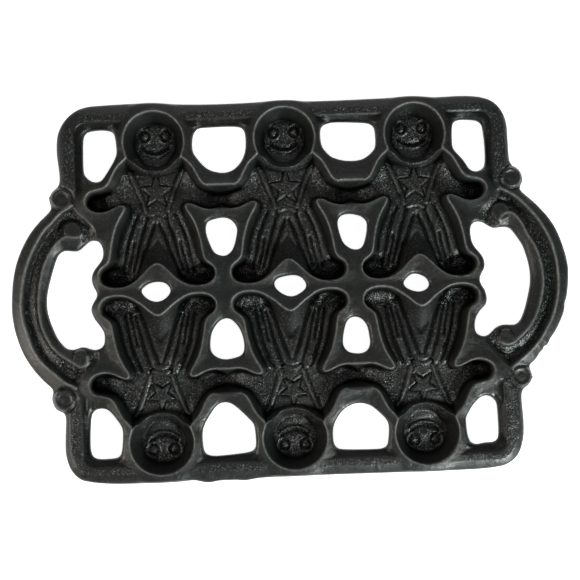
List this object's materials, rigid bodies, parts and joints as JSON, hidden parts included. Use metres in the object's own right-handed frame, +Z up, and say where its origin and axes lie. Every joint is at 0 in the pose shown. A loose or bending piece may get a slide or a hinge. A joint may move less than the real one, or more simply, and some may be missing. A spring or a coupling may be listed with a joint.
{
  "type": "cast iron gem pan",
  "caption": "Black cast-iron pan of doll-shaped cups in two rows, feet to feet, framed by rails with a loop handle at each end.",
  "frame": {"origin": "centre of the pan's footprint on the surface it stands on", "axes": "+X along the pan from the left handle to the right handle, +Y from the front row of figures to the back row, +Z up out of the cups"},
  "size_m": [0.3428, 0.2346, 0.0185],
  "materials": {
    "seasoned_iron": "seasoned, semi-gloss, grainy as cast"
  },
  "bodies": {
    "root": {"back_left_figure_cup": "seasoned_iron", "back_middle_figure_cup": "seasoned_iron", "back_right_figure_cup": "seasoned_iron", "front_left_figure_cup": "seasoned_iron", "front_middle_figure_cup": "seasoned_iron", "front_right_figure_cup": "seasoned_iron", "back_rail": "seasoned_iron", "front_rail": "seasoned_iron", "left_handle": "seasoned_iron", "right_handle": "seasoned_iron", "back_left_boss": "seasoned_iron", "back_right_boss": "seasoned_iron", "front_left_boss": "seasoned_iron", "front_right_boss": "seasoned_iron"}
  },
  "joints": []
}
